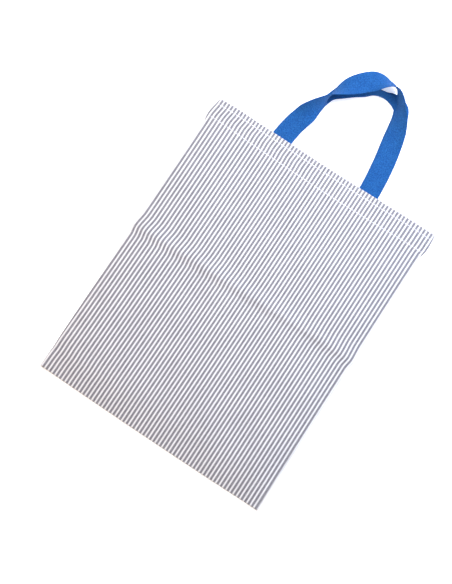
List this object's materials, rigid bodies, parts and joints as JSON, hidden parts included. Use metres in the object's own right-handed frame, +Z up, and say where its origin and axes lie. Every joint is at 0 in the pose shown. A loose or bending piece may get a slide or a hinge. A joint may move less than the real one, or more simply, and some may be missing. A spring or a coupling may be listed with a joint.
{
  "type": "tote bag",
  "caption": "Flat striped cotton tote bag with hemmed mouth, mid-height fold crease and two bright blue webbing handles, lying on its back.",
  "frame": {"origin": "bottom centre of the bounding box, under the middle of the whole length from bottom seam to handle tops", "axes": "+X across the bag, +Y from the bottom seam to the handles, +Z up out of the front panel"},
  "size_m": [0.303, 0.5078, 0.0301],
  "materials": {
    "striped_cotton": "plain weave, woven grey-blue stripes on white",
    "inner_cotton": "plain weave, wrong side",
    "blue_webbing": "ribbed cotton webbing",
    "white_thread": "twisted sewing thread"
  },
  "bodies": {
    "upper_body": {"back_panel_upper": "striped_cotton", "back_hem_facing": "inner_cotton", "back_handle_end_left": "blue_webbing", "back_handle_end_right": "blue_webbing", "back_hem_stitch_upper": "white_thread", "back_hem_stitch_lower": "white_thread", "front_panel_side_left": "striped_cotton", "front_panel_side_right": "striped_cotton", "hem_corner_left": "inner_cotton", "hem_corner_right": "inner_cotton", "side_seam_left_upper": "inner_cotton", "side_seam_right_upper": "inner_cotton", "overlock_left_upper": "white_thread", "overlock_right_upper": "white_thread"},
    "mouth_flap": {"front_panel_centre": "striped_cotton", "front_hem_facing": "inner_cotton", "front_handle_end_left": "blue_webbing", "front_handle_end_right": "blue_webbing", "front_hem_stitch_upper": "white_thread", "front_hem_stitch_lower": "white_thread"},
    "lower_body": {"back_panel_lower": "striped_cotton", "front_panel_lower": "striped_cotton", "side_seam_left_lower": "inner_cotton", "side_seam_right_lower": "inner_cotton", "overlock_left_lower": "white_thread", "overlock_right_lower": "white_thread", "bottom_seam": "inner_cotton", "overlock_bottom": "white_thread"},
    "front_handle": {"front_handle": "blue_webbing"},
    "back_handle": {"back_handle": "blue_webbing"}
  },
  "joints": [
    {"name": "mouth_open", "type": "hinge", "parent": "upper_body", "child": "mouth_flap", "pos_m": [0, -0.05586, 0.0067], "axis": [1, 0, 0], "range_deg": [0, 12]},
    {"name": "bag_fold", "type": "hinge", "parent": "upper_body", "child": "lower_body", "pos_m": [0, -0.05586, 0.0067], "axis": [-1, 0, 0], "range_deg": [0, 120]},
    {"name": "front_handle_swing", "type": "hinge", "parent": "mouth_flap", "child": "front_handle", "pos_m": [0, 0.12644, 0.0071], "axis": [1, 0, 0], "range_deg": [0, 160]},
    {"name": "back_handle_swing", "type": "hinge", "parent": "upper_body", "child": "back_handle", "pos_m": [0, 0.12644, 0.0036], "axis": [1, 0, 0], "range_deg": [0, 90]}
  ],
  "couplings": [
    {"joint": "back_handle_swing", "follows": "front_handle_swing", "ratio": 0.5625}
  ]
}
